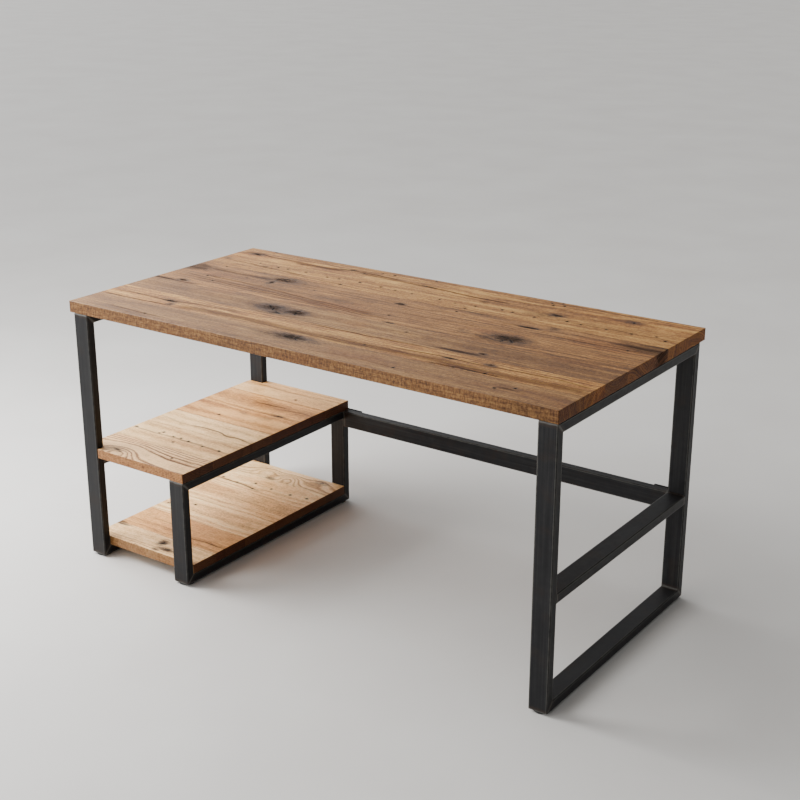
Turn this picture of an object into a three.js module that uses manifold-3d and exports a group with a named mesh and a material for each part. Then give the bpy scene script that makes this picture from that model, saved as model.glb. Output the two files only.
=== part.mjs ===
// Writing desk: an edge-glued oak top on welded frames of rectangular steel tube, with two low oak
// shelves at the left. Millimetres, +X to the right, +Y to the rear, +Z up. The origin is on the floor
// under the middle of the top.
import * as THREE from 'three';
import { mergeVertices } from 'three/addons/utils/BufferGeometryUtils.js';
import Module from 'manifold-3d';

const wasm = await Module();
wasm.setup();

// Overall size
const TOP_LENGTH = 1524;
const TOP_DEPTH = 762;
const TOP_THICKNESS = 32;
const DESK_HEIGHT = 755;
const GAP = 0.3;

// How far the top stands out past the steel frame on each side
const OVERHANG_LEFT = 15;
const OVERHANG_RIGHT = 0.5;
const OVERHANG_FRONT = 0.5;
const OVERHANG_REAR = 27.5;

// Rectangular steel tube, 2 in by 1 in
const TUBE_WIDTH = 50.8;
const TUBE_DEPTH = 25.4;
const TUBE_WALL = 2.1;
const TUBE_CORNER_RADIUS = 3;

// Levels and places in the frame
const MID_RAIL_TOP = 307;
const INNER_FRAME_WIDTH = 376;
const SHELF_THICKNESS = 27;
const SHELF_OVERHANG_LEFT = 3;
const SHELF_OVERHANG_RIGHT = 0.5;
const SHELF_FRONT_INSET = 1;
const NOTCH_CLEARANCE = 0.5;

// Levelling feet, screwed up into tapped bosses in the bottom rails
const FOOT_HEIGHT = 5;
const FOOT_RADIUS = 21;
const FOOT_INSET = 22;
const STEM_RADIUS = 4;
const STEM_LENGTH = 19;
const STEM_CLEARANCE = 0.2;
const BOSS_RADIUS = 7;
const BOSS_HEIGHT = 8.5;

// Wood screws, from below through both walls of a rail
const SCREW_RADIUS = 2.4;
const SCREW_HEAD_RADIUS = 5.5;
const SCREW_HEAD_HEIGHT = 3;
const SCREW_BITE = 18;
const RAIL_HOLE_RADIUS = 3;
const PILOT_RADIUS = 2.7;
const TOP_SCREW_PLACES = [-320, 0, 310];
const SHELF_SCREW_PLACES = [-315, 285];

// Splice plates and their bolts, behind the ends of the back rail
const PLATE_LENGTH = 100;
const PLATE_HEIGHT = 48;
const PLATE_THICKNESS = 3;
const PLATE_RISE = 1.5;
const PLATE_INSET = 2;
const BOLT_RADIUS = 3;
const BOLT_HEAD_RADIUS = 6;
const BOLT_HEAD_HEIGHT = 3.3;
const BOLT_LENGTH = 18;
const BOLT_HOLE_RADIUS = 3.3;
const BOLT_SPREAD = 22;

// Where one board ends and the next begins, front to rear
const TOP_JOINTS = [-268, -168, -56, 54, 162, 275];
const UPPER_SHELF_JOINTS = [-258, -132, -11, 108, 238];
const LOWER_SHELF_JOINTS = [-265, -140, -12, 112, 232];

const CIRCLE_SIDES = 12;

// Planes worked out from the sizes above
const frameLeft = -TOP_LENGTH / 2 + OVERHANG_LEFT;
const frameRight = TOP_LENGTH / 2 - OVERHANG_RIGHT;
const frameFront = -TOP_DEPTH / 2 + OVERHANG_FRONT;
const frameRear = TOP_DEPTH / 2 - OVERHANG_REAR;
const frameDepth = frameRear - frameFront;
const frameBottom = FOOT_HEIGHT;
const topUnderside = DESK_HEIGHT - TOP_THICKNESS;
const frameTop = topUnderside - GAP;
const innerRight = frameLeft + INNER_FRAME_WIDTH;
const upperShelfBottom = MID_RAIL_TOP + GAP;
const lowerShelfBottom = frameBottom + TUBE_DEPTH + GAP;
const shelfLeft = frameLeft - SHELF_OVERHANG_LEFT;
const shelfRight = innerRight + SHELF_OVERHANG_RIGHT;

const leftRailCentre = frameLeft + TUBE_WIDTH / 2;
const innerRailCentre = innerRight - TUBE_WIDTH / 2;
const rightRailCentre = frameRight - TUBE_WIDTH / 2;

const oakTop = new THREE.MeshStandardMaterial({ color: 0x9a7048, roughness: 0.55, metalness: 0 });
const oakShelf = new THREE.MeshStandardMaterial({ color: 0xc3a07a, roughness: 0.6, metalness: 0 });
const rawSteel = new THREE.MeshStandardMaterial({ color: 0x37373a, roughness: 0.45, metalness: 0.8 });
const blackZinc = new THREE.MeshStandardMaterial({ color: 0x2a2a2c, roughness: 0.4, metalness: 0.7 });
const blackNylon = new THREE.MeshStandardMaterial({ color: 0x161616, roughness: 0.7, metalness: 0 });

const X = new THREE.Vector3(1, 0, 0);
const Y = new THREE.Vector3(0, 1, 0);
const Z = new THREE.Vector3(0, 0, 1);
const negative = (axis) => axis.clone().negate();

// ---- solids -------------------------------------------------------------------------------------

function toSolid(geometry) {
  const bare = geometry.clone();
  bare.deleteAttribute('normal');
  bare.deleteAttribute('uv');
  const merged = mergeVertices(bare, 1e-4);
  const mesh = new wasm.Mesh({
    numProp: 3,
    vertProperties: new Float32Array(merged.attributes.position.array),
    triVerts: new Uint32Array(merged.index.array),
  });
  return new wasm.Manifold(mesh);
}

function toGeometry(solid) {
  const mesh = solid.getMesh();
  const geometry = new THREE.BufferGeometry();
  geometry.setAttribute('position', new THREE.BufferAttribute(new Float32Array(mesh.vertProperties), 3));
  geometry.setIndex(new THREE.BufferAttribute(new Uint32Array(mesh.triVerts), 1));
  geometry.computeVertexNormals();
  return geometry;
}

function cut(geometry, cutters) {
  const solid = cutters.reduce((rest, cutter) => rest.subtract(toSolid(cutter)), toSolid(geometry));
  return toGeometry(solid);
}

function join(geometry, additions) {
  const solid = additions.reduce((whole, addition) => whole.add(toSolid(addition)), toSolid(geometry));
  return toGeometry(solid);
}

// A round bar from point (x, y, from) to (x, y, to)
function barAlongZ(radius, x, y, from, to) {
  const bar = new THREE.CylinderGeometry(radius, radius, to - from, CIRCLE_SIDES);
  return bar.rotateX(Math.PI / 2).translate(x, y, (from + to) / 2);
}

// A round bar from point (x, from, z) to (x, to, z)
function barAlongY(radius, x, z, from, to) {
  const bar = new THREE.CylinderGeometry(radius, radius, to - from, CIRCLE_SIDES);
  return bar.translate(x, (from + to) / 2, z);
}

function mesh(name, geometry, material) {
  const piece = new THREE.Mesh(geometry, material.clone());
  piece.name = name;
  return piece;
}

// ---- steel tube ---------------------------------------------------------------------------------

function roundedOutline(target, left, right, low, high, radius) {
  target.moveTo(left + radius, low);
  target.lineTo(right - radius, low);
  target.absarc(right - radius, low + radius, radius, -Math.PI / 2, 0);
  target.lineTo(right, high - radius);
  target.absarc(right - radius, high - radius, radius, 0, Math.PI / 2);
  target.lineTo(left + radius, high);
  target.absarc(left + radius, high - radius, radius, Math.PI / 2, Math.PI);
  target.lineTo(left, low + radius);
  target.absarc(left + radius, low + radius, radius, Math.PI, 1.5 * Math.PI);
  return target;
}

// A tube that runs from z = 0 to z = length. Its wide outer face is in the plane y = 0, and its inner
// face is at y = TUBE_DEPTH. A mitred end is cut at 45 degrees, so that the inner face is the shorter.
function tube(length, mitred) {
  const half = TUBE_WIDTH / 2;
  const section = roundedOutline(new THREE.Shape(), -half, half, 0, TUBE_DEPTH, TUBE_CORNER_RADIUS);
  const inside = roundedOutline(
    new THREE.Path(),
    -half + TUBE_WALL,
    half - TUBE_WALL,
    TUBE_WALL,
    TUBE_DEPTH - TUBE_WALL,
    TUBE_CORNER_RADIUS - TUBE_WALL,
  );
  section.holes.push(inside);
  const geometry = new THREE.ExtrudeGeometry(section, { depth: length, bevelEnabled: false, curveSegments: 2 });
  const position = geometry.attributes.position;
  for (let i = 0; i < position.count; i += 1) {
    const atEnd = position.getZ(i) > length / 2;
    const shortening = mitred ? position.getY(i) + GAP * Math.SQRT1_2 : GAP;
    position.setZ(i, atEnd ? length - shortening : shortening);
  }
  return geometry;
}

// Turns a geometry so that its own x, y and z axes lie along the three given ones, and moves it.
function aim(geometry, xAxis, yAxis, zAxis, x, y, z) {
  const placement = new THREE.Matrix4().makeBasis(xAxis, yAxis, zAxis).setPosition(x, y, z);
  return geometry.applyMatrix4(placement);
}

function frontLeg(centre, height) {
  return aim(tube(height, true), X, Y, Z, centre, frameFront, frameBottom);
}

function rearLeg(centre, height) {
  return aim(tube(height, true), negative(X), negative(Y), Z, centre, frameRear, frameBottom);
}

function bottomRail(centre) {
  return aim(tube(frameDepth, true), negative(X), Z, Y, centre, frameFront, frameBottom);
}

function topRail(centre, top) {
  return aim(tube(frameDepth, true), X, negative(Z), Y, centre, frameFront, top);
}

function midRail(centre) {
  const length = frameDepth - 2 * TUBE_DEPTH;
  return aim(tube(length, false), X, negative(Z), Y, centre, frameFront + TUBE_DEPTH, MID_RAIL_TOP);
}

// Clearance holes for wood screws, through both walls of a rail whose top face is at the given level
function drillRail(rail, centre, top, places) {
  const low = top - TUBE_DEPTH - 1;
  return cut(rail, places.map((y) => barAlongZ(RAIL_HOLE_RADIUS, centre, y, low, top + 1)));
}

// Tapped bosses on the inside of a bottom rail, and the holes for the feet's stems
function addFootBosses(rail, centre) {
  const places = [frameFront + FOOT_INSET, frameRear - FOOT_INSET];
  const low = frameBottom + TUBE_WALL / 2;
  const high = frameBottom + BOSS_HEIGHT;
  const hole = STEM_RADIUS + STEM_CLEARANCE;
  const bossed = join(rail, places.map((y) => barAlongZ(BOSS_RADIUS, centre, y, low, high)));
  return cut(bossed, places.map((y) => barAlongZ(hole, centre, y, frameBottom - 1, high + 1)));
}

// The heights of a splice plate's two bolts
function boltLevels() {
  const middle = MID_RAIL_TOP + PLATE_RISE - PLATE_HEIGHT / 2;
  return [middle - BOLT_SPREAD / 2, middle + BOLT_SPREAD / 2];
}

// Holes through a rear leg's rear wall for the splice plate's bolts
function drillRearLeg(leg, centre) {
  const holes = boltLevels().map((z) => barAlongY(BOLT_HOLE_RADIUS, centre, z, frameRear - 6, frameRear + 1));
  return cut(leg, holes);
}

function sideFrame(side, centre, hasShelf) {
  const height = frameTop - frameBottom;
  const rear = rearLeg(centre, height);
  const mid = midRail(centre);
  const bottom = addFootBosses(bottomRail(centre), centre);
  const railTop = frameBottom + TUBE_DEPTH;
  const group = new THREE.Group();
  group.add(
    mesh(`${side}_front_leg`, frontLeg(centre, height), rawSteel),
    mesh(`${side}_rear_leg`, hasShelf ? rear : drillRearLeg(rear, centre), rawSteel),
    mesh(`${side}_top_rail`, drillRail(topRail(centre, frameTop), centre, frameTop, TOP_SCREW_PLACES), rawSteel),
    mesh(
      `${side}_mid_rail`,
      hasShelf ? drillRail(mid, centre, MID_RAIL_TOP, SHELF_SCREW_PLACES) : mid,
      rawSteel,
    ),
    mesh(
      `${side}_bottom_rail`,
      hasShelf ? drillRail(bottom, centre, railTop, SHELF_SCREW_PLACES) : bottom,
      rawSteel,
    ),
  );
  return group;
}

function innerFrame() {
  const centre = innerRailCentre;
  const height = MID_RAIL_TOP - frameBottom;
  const top = drillRail(topRail(centre, MID_RAIL_TOP), centre, MID_RAIL_TOP, SHELF_SCREW_PLACES);
  const bossed = addFootBosses(bottomRail(centre), centre);
  const bottom = drillRail(bossed, centre, frameBottom + TUBE_DEPTH, SHELF_SCREW_PLACES);
  const group = new THREE.Group();
  group.add(
    mesh('inner_front_leg', frontLeg(centre, height), rawSteel),
    mesh('inner_rear_leg', drillRearLeg(rearLeg(centre, height), centre), rawSteel),
    mesh('inner_top_rail', top, rawSteel),
    mesh('inner_bottom_rail', bottom, rawSteel),
  );
  return group;
}

// ---- back rail, splice plates and bolts ---------------------------------------------------------

function backRail() {
  const length = frameRight - TUBE_WIDTH - innerRight;
  const middle = MID_RAIL_TOP - TUBE_WIDTH / 2;
  return mesh(
    'back_rail',
    aim(tube(length, false), Z, negative(Y), X, innerRight, frameRear, middle),
    rawSteel,
  );
}

function splicePlate(side, left, boltX) {
  const plate = new THREE.BoxGeometry(PLATE_LENGTH, PLATE_THICKNESS, PLATE_HEIGHT);
  const near = frameRear + GAP;
  const middle = MID_RAIL_TOP + PLATE_RISE - PLATE_HEIGHT / 2;
  plate.translate(left + PLATE_LENGTH / 2, near + PLATE_THICKNESS / 2, middle);
  const far = near + PLATE_THICKNESS + 1;
  const holes = boltLevels().map((z) => barAlongY(BOLT_HOLE_RADIUS, boltX, z, near - 1, far));
  return mesh(`${side}_splice_plate`, cut(plate, holes), rawSteel);
}

// A button-head bolt: shank along -Y from its head, which lies outside the plate
function bolt(name, x, z) {
  const headBase = frameRear + 2 * GAP + PLATE_THICKNESS;
  const dome = [
    new THREE.Vector2(0, -BOLT_LENGTH),
    new THREE.Vector2(BOLT_RADIUS, -BOLT_LENGTH),
    new THREE.Vector2(BOLT_RADIUS, 0),
    new THREE.Vector2(BOLT_HEAD_RADIUS, 0),
    new THREE.Vector2(BOLT_HEAD_RADIUS * 0.85, BOLT_HEAD_HEIGHT * 0.7),
    new THREE.Vector2(BOLT_HEAD_RADIUS * 0.45, BOLT_HEAD_HEIGHT),
    new THREE.Vector2(0, BOLT_HEAD_HEIGHT),
  ];
  const piece = mesh(name, new THREE.LatheGeometry(dome, CIRCLE_SIDES), blackZinc);
  piece.position.set(x, headBase, z);
  return piece;
}

function backRailAssembly() {
  const group = new THREE.Group();
  const leftPlateStart = innerRight - TUBE_WIDTH + PLATE_INSET;
  const rightPlateStart = frameRight - PLATE_INSET - PLATE_LENGTH;
  group.add(
    backRail(),
    splicePlate('left', leftPlateStart, innerRailCentre),
    splicePlate('right', rightPlateStart, rightRailCentre),
  );
  const [low, high] = boltLevels();
  group.add(
    bolt('left_splice_bolt_lower', innerRailCentre, low),
    bolt('left_splice_bolt_upper', innerRailCentre, high),
    bolt('right_splice_bolt_lower', rightRailCentre, low),
    bolt('right_splice_bolt_upper', rightRailCentre, high),
  );
  return group;
}

// ---- oak boards ---------------------------------------------------------------------------------

// An upright slab of wood: a plan outline, given as [x, y] corners, from one level to another
function slab(corners, bottom, thickness) {
  const outline = new THREE.Shape(corners.map(([x, y]) => new THREE.Vector2(x, y)));
  const geometry = new THREE.ExtrudeGeometry(outline, { depth: thickness, bevelEnabled: false });
  return geometry.translate(0, 0, bottom);
}

function rectangle(left, right, front, rear) {
  return [[left, front], [right, front], [right, rear], [left, rear]];
}

// Blind pilot holes, up into the underside of a board, for those screws that fall inside it
function drillPilots(board, front, rear, bottom, centres, places) {
  const inside = places.filter((y) => y > front && y < rear);
  const holes = inside.flatMap((y) =>
    centres.map((x) => barAlongZ(PILOT_RADIUS, x, y, bottom - 1, bottom + SCREW_BITE + 1)),
  );
  return holes.length > 0 ? cut(board, holes) : board;
}

// Splits a panel's depth into boards. Each entry is [front, rear], with the glue line's gap between.
function boardSpans(front, rear, joints) {
  const edges = [front, ...joints, rear];
  return edges.slice(1).map((edge, i) => [
    edges[i] + (i > 0 ? GAP / 2 : 0),
    edge - (i < joints.length ? GAP / 2 : 0),
  ]);
}

function tabletop() {
  const group = new THREE.Group();
  const half = TOP_LENGTH / 2;
  boardSpans(-TOP_DEPTH / 2, TOP_DEPTH / 2, TOP_JOINTS).forEach(([front, rear], i) => {
    const board = slab(rectangle(-half, half, front, rear), topUnderside, TOP_THICKNESS);
    const centres = [leftRailCentre, rightRailCentre];
    const drilled = drillPilots(board, front, rear, topUnderside, centres, TOP_SCREW_PLACES);
    group.add(mesh(`top_board_${i + 1}`, drilled, oakTop));
  });
  return group;
}

function upperShelf() {
  const group = new THREE.Group();
  const front = frameFront + SHELF_FRONT_INSET;
  const notchRight = frameLeft + TUBE_WIDTH + NOTCH_CLEARANCE;
  const frontNotch = frameFront + TUBE_DEPTH + NOTCH_CLEARANCE;
  const rearNotch = frameRear - TUBE_DEPTH - NOTCH_CLEARANCE;
  const spans = boardSpans(front, frameRear, UPPER_SHELF_JOINTS);
  spans.forEach(([near, far], i) => {
    let corners = rectangle(shelfLeft, shelfRight, near, far);
    if (i === 0) {
      corners = [
        [notchRight, near], [shelfRight, near], [shelfRight, far],
        [shelfLeft, far], [shelfLeft, frontNotch], [notchRight, frontNotch],
      ];
    }
    if (i === spans.length - 1) {
      corners = [
        [shelfLeft, near], [shelfRight, near], [shelfRight, far],
        [notchRight, far], [notchRight, rearNotch], [shelfLeft, rearNotch],
      ];
    }
    const board = slab(corners, upperShelfBottom, SHELF_THICKNESS);
    const centres = [leftRailCentre, innerRailCentre];
    const drilled = drillPilots(board, near, far, upperShelfBottom, centres, SHELF_SCREW_PLACES);
    group.add(mesh(`upper_shelf_board_${i + 1}`, drilled, oakShelf));
  });
  return group;
}

function lowerShelf() {
  const group = new THREE.Group();
  const front = frameFront + TUBE_DEPTH + NOTCH_CLEARANCE;
  const rear = frameRear - TUBE_DEPTH - NOTCH_CLEARANCE;
  boardSpans(front, rear, LOWER_SHELF_JOINTS).forEach(([near, far], i) => {
    const board = slab(rectangle(shelfLeft, shelfRight, near, far), lowerShelfBottom, SHELF_THICKNESS);
    const centres = [leftRailCentre, innerRailCentre];
    const drilled = drillPilots(board, near, far, lowerShelfBottom, centres, SHELF_SCREW_PLACES);
    group.add(mesh(`lower_shelf_board_${i + 1}`, drilled, oakShelf));
  });
  return group;
}

// ---- screws and feet ----------------------------------------------------------------------------

// A pan-head wood screw that points up. Its head's bearing face is at z = 0.
function screwGeometry() {
  const shank = TUBE_DEPTH + 2 * GAP + SCREW_BITE;
  const profile = [
    new THREE.Vector2(0, -SCREW_HEAD_HEIGHT),
    new THREE.Vector2(SCREW_HEAD_RADIUS * 0.7, -SCREW_HEAD_HEIGHT),
    new THREE.Vector2(SCREW_HEAD_RADIUS, -SCREW_HEAD_HEIGHT * 0.4),
    new THREE.Vector2(SCREW_HEAD_RADIUS, 0),
    new THREE.Vector2(SCREW_RADIUS, 0),
    new THREE.Vector2(SCREW_RADIUS, shank - 5),
    new THREE.Vector2(0, shank),
  ];
  return new THREE.LatheGeometry(profile, CIRCLE_SIDES).rotateX(Math.PI / 2);
}

// One screw under each place of a rail whose top face is at the given level
function screwRow(prefix, centre, railTop, places) {
  const ends = places.length > 2 ? ['front', 'middle', 'rear'] : ['front', 'rear'];
  const group = new THREE.Group();
  places.forEach((y, i) => {
    const screw = mesh(`${prefix}_screw_${ends[i]}`, screwGeometry(), blackZinc);
    screw.position.set(centre, y, railTop - TUBE_DEPTH - GAP);
    group.add(screw);
  });
  return group;
}

function screws() {
  const group = new THREE.Group();
  const lowRailTop = frameBottom + TUBE_DEPTH;
  group.add(
    screwRow('left_top', leftRailCentre, frameTop, TOP_SCREW_PLACES),
    screwRow('right_top', rightRailCentre, frameTop, TOP_SCREW_PLACES),
    screwRow('upper_shelf_left', leftRailCentre, MID_RAIL_TOP, SHELF_SCREW_PLACES),
    screwRow('upper_shelf_right', innerRailCentre, MID_RAIL_TOP, SHELF_SCREW_PLACES),
    screwRow('lower_shelf_left', leftRailCentre, lowRailTop, SHELF_SCREW_PLACES),
    screwRow('lower_shelf_right', innerRailCentre, lowRailTop, SHELF_SCREW_PLACES),
  );
  return group;
}

// A levelling foot: a low round base with a stem that stands up into the bottom rail
function footGeometry() {
  const baseTop = FOOT_HEIGHT - GAP;
  const profile = [
    new THREE.Vector2(0, 0),
    new THREE.Vector2(FOOT_RADIUS - 1.5, 0),
    new THREE.Vector2(FOOT_RADIUS, 1),
    new THREE.Vector2(FOOT_RADIUS, 3.2),
    new THREE.Vector2(FOOT_RADIUS - 2, baseTop),
    new THREE.Vector2(STEM_RADIUS, baseTop),
    new THREE.Vector2(STEM_RADIUS, baseTop + STEM_LENGTH - 1),
    new THREE.Vector2(STEM_RADIUS - 1, baseTop + STEM_LENGTH),
    new THREE.Vector2(0, baseTop + STEM_LENGTH),
  ];
  return new THREE.LatheGeometry(profile, 2 * CIRCLE_SIDES).rotateX(Math.PI / 2);
}

function feet() {
  const group = new THREE.Group();
  const columns = { left: leftRailCentre, inner: innerRailCentre, right: rightRailCentre };
  const rows = { front: frameFront + FOOT_INSET, rear: frameRear - FOOT_INSET };
  for (const [side, x] of Object.entries(columns)) {
    for (const [end, y] of Object.entries(rows)) {
      const foot = mesh(`${side}_${end}_foot`, footGeometry(), blackNylon);
      foot.position.set(x, y, 0);
      group.add(foot);
    }
  }
  return group;
}

// ---- the desk -----------------------------------------------------------------------------------

const group = new THREE.Group();
group.add(
  tabletop(),
  upperShelf(),
  lowerShelf(),
  sideFrame('left', leftRailCentre, true),
  sideFrame('right', rightRailCentre, false),
  innerFrame(),
  backRailAssembly(),
  screws(),
  feet(),
);

export default group;
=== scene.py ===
"""Writing desk: an oak plank top and two low oak shelves on welded frames of rectangular steel tube.

Every CAD node has one fine piece of the same place and size: boards with eased edges, nail holes, splits and
knots, tubes with rolled corners and ground welds, threaded fasteners and feet. Shapes are written in
millimetres in the CAD frame and turned into metres when their mesh is made.
"""

import math
import random

import bpy
from mathutils import Matrix, Vector, geometry, noise


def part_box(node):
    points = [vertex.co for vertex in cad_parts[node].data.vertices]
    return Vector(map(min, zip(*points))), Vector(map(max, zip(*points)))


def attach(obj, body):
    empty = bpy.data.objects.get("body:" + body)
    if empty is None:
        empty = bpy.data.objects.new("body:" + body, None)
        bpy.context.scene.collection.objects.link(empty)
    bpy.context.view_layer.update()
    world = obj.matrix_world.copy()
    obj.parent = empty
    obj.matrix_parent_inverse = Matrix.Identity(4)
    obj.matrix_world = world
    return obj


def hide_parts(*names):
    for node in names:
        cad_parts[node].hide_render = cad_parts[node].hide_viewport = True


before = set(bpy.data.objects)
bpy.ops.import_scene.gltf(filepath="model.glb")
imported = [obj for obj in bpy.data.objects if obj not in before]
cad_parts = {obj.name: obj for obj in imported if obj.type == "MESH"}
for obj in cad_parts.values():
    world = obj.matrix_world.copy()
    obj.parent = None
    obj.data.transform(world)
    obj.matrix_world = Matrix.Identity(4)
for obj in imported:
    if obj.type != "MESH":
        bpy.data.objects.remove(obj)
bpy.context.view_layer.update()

MM = 0.001
X_AXIS, Y_AXIS, Z_AXIS = Vector((1, 0, 0)), Vector((0, 1, 0)), Vector((0, 0, 1))
FULL_TURN = 2 * math.pi


def box(node):
    """Lowest and highest corner of a CAD node, in millimetres."""
    low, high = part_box(node)
    return low / MM, high / MM


def add_object(name, data):
    made = bpy.data.objects.new(name, data)
    bpy.context.scene.collection.objects.link(made)
    return made


# ---- camera ----

CAMERA_PLACE = (2.118, -2.878, 1.778)
CAMERA_AZIMUTH, CAMERA_FALL = math.radians(35.37), math.radians(19.49)
CAMERA_LENS = 63.24
CAMERA_SENSOR = 36


def add_camera():
    """The photograph's viewpoint: above the right front corner, looking left and down."""
    level = Vector((-math.sin(CAMERA_AZIMUTH), math.cos(CAMERA_AZIMUTH), 0))
    forward = level * math.cos(CAMERA_FALL) - Z_AXIS * math.sin(CAMERA_FALL)
    data = bpy.data.cameras.new("camera")
    data.lens = CAMERA_LENS
    data.sensor_width = CAMERA_SENSOR
    camera = add_object("camera", data)
    camera.location = CAMERA_PLACE
    camera.rotation_mode = "QUATERNION"
    camera.rotation_quaternion = forward.to_track_quat("-Z", "Y")
    bpy.context.scene.camera = camera


# ---- node helpers ----


def colour(code):
    """A colour written as six hex digits, in linear light, with alpha."""
    parts = [int(code[i : i + 2], 16) / 255 for i in (0, 2, 4)]
    return tuple(c / 12.92 if c <= 0.04045 else ((c + 0.055) / 1.055) ** 2.4 for c in parts) + (1.0,)


class Value:
    """What a node's output gives. Arithmetic on it adds Math nodes to its graph."""

    def __init__(self, graph, socket):
        self.graph = graph
        self.socket = socket

    def __add__(self, other):
        return self.graph.math("ADD", self, other)

    def __sub__(self, other):
        return self.graph.math("SUBTRACT", self, other)

    def __mul__(self, other):
        return self.graph.math("MULTIPLY", self, other)

    def __abs__(self):
        return self.graph.math("ABSOLUTE", self)

    __radd__ = __add__
    __rmul__ = __mul__

    def swing(self, amount):
        """A 0 to 1 value turned into one that swings by amount either side of zero."""
        return (self - 0.5) * (2 * amount)


class Graph:
    """Adds nodes to a node tree. What goes into a node is a Value or a plain number or colour."""

    def __init__(self, tree):
        self.tree = tree

    def node(self, kind, *given, **settings):
        """A new node with these settings and these values at its first inputs."""
        made = self.tree.nodes.new(kind)
        for name, value in settings.items():
            setattr(made, name, value)
        for socket, value in zip(made.inputs, given):
            self.put(socket, value)
        return made

    def put(self, socket, value):
        if isinstance(value, Value):
            self.tree.links.new(value.socket, socket)
        else:
            socket.default_value = value

    def output(self, node, key=0):
        return Value(self, node.outputs[key])

    def math(self, operation, *values, clamp=False):
        return self.output(self.node("ShaderNodeMath", *values, operation=operation, use_clamp=clamp))

    def vector(self, operation, *values):
        made = self.node("ShaderNodeVectorMath", *values, operation=operation)
        return self.output(made, "Value" if operation in ("LENGTH", "DOT_PRODUCT") else "Vector")

    def split(self, vector):
        made = self.node("ShaderNodeSeparateXYZ", vector)
        return [self.output(made, i) for i in range(3)]

    def join(self, x, y, z):
        return self.output(self.node("ShaderNodeCombineXYZ", x, y, z))

    def noise(self, place, scale, detail=2.0, roughness=0.5):
        """Noise with so many features to the millimetre along x, y and z."""
        made = self.node("ShaderNodeTexNoise", self.vector("MULTIPLY", place, scale))
        for name, value in (("Scale", 1.0), ("Detail", detail), ("Roughness", roughness)):
            made.inputs[name].default_value = value
        return self.output(made)

    def smooth(self, value, low, high, out_low=0.0, out_high=1.0):
        """A smooth step from out_low to out_high as value goes from low to high."""
        made = self.node("ShaderNodeMapRange", value, low, high, out_low, out_high)
        made.interpolation_type = "SMOOTHSTEP"
        return self.output(made)

    def ramp(self, value, *stops):
        made = self.node("ShaderNodeValToRGB", value)
        elements = made.color_ramp.elements
        while len(elements) < len(stops):
            elements.new(1.0)
        for element, (place, shade) in zip(elements, stops):
            element.position = place
            element.color = colour(shade) if isinstance(shade, str) else (shade, shade, shade, 1)
        return self.output(made)

    def mix(self, factor, first, second, blend="MIX"):
        made = self.node("ShaderNodeMix", factor, data_type="RGBA", blend_type=blend)
        self.put(made.inputs[6], first)
        self.put(made.inputs[7], colour(second) if isinstance(second, str) else second)
        return self.output(made, 2)

    def attribute(self, name):
        return self.output(self.node("ShaderNodeAttribute", attribute_name=name), "Fac")

    def place(self, kind):
        """The place on the object in metres, the surface's normal or, in the world, the direction."""
        return self.output(self.node("ShaderNodeTexCoord"), kind)


class Finish:
    """A new material: its graph, its Principled shader's inputs and the place on the object in millimetres."""

    def __init__(self, name):
        self.material = bpy.data.materials.new(name)
        self.material.use_nodes = True
        tree = self.material.node_tree
        self.graph = Graph(tree)
        self.inputs = tree.nodes["Principled BSDF"].inputs
        self.point = self.graph.vector("MULTIPLY", self.graph.place("Object"), (1 / MM,) * 3)

    def noise(self, scale, detail=2.0, roughness=0.5):
        """Noise that is as long as it is wide."""
        return self.graph.noise(self.point, (scale,) * 3, detail, roughness)

    def look(self, base, rough, height, strength, depth, **others):
        """Sets the colour, the roughness, the bump with its depth in millimetres, and other inputs."""
        bump = self.graph.node("ShaderNodeBump")
        bump.inputs["Strength"].default_value = strength
        bump.inputs["Distance"].default_value = depth * MM
        self.graph.put(bump.inputs["Height"], height)
        self.graph.put(self.inputs["Base Color"], base)
        self.graph.put(self.inputs["Roughness"], rough)
        self.graph.put(self.inputs["Normal"], self.graph.output(bump))
        for name, value in others.items():
            self.graph.put(self.inputs[name.replace("_", " ")], value)
        return self.material


# ---- oak ----


def spot_group():
    """Node group for an oval knot, stain or swell: its height, and how it pushes the grain aside."""
    tree = bpy.data.node_groups.new("oval_spot", "ShaderNodeTree")
    sockets = ("Point Vector", "Centre Vector", "Shrink Vector", "Strength Float", "Ragged Float")
    for name, kind in (socket.split() for socket in sockets):
        tree.interface.new_socket(name=name, in_out="INPUT", socket_type=f"NodeSocket{kind}")
    for name in ("Height", "Push", "Fade"):
        tree.interface.new_socket(name=name, in_out="OUTPUT", socket_type="NodeSocketFloat")
    graph = Graph(tree)
    source = graph.node("NodeGroupInput")
    point, centre, shrink, strength, ragged = (graph.output(source, i) for i in range(5))
    offset = graph.vector("SUBTRACT", point, centre)
    reach = graph.vector("LENGTH", graph.vector("MULTIPLY", offset, shrink))
    height = graph.math("MULTIPLY_ADD", reach + ragged, -1 / 2.1, 1.0, clamp=True)
    fade = graph.math("EXPONENT", reach * reach * -0.45)
    push = graph.split(offset)[1] * fade
    graph.node("NodeGroupOutput", height * strength, push * strength, fade * strength)
    return tree


SPOT = spot_group()
SWELL_LIFT = 45
KNOT_TURNS = 42
ROUGH = 0.48
SHINE = 0.28


def spots(graph, point, ragged, places):
    """The highest height, summed push and summed fade of ovals (x, y, half length, half width, strength)."""
    height, push, fade = 0.0, 0.0, 0.0
    for x, y, half_length, half_width, strength in places:
        made = graph.node("ShaderNodeGroup", node_tree=SPOT)
        shrink = (1 / half_length, 1 / half_width, 0)
        for socket, value in zip(made.inputs, (point, (x, y, 0), shrink, strength, ragged)):
            graph.put(socket, value)
        height = graph.math("MAXIMUM", height, graph.output(made))
        push = push + graph.output(made, 1)
        fade = fade + graph.output(made, 2)
    return height, push, fade


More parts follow.
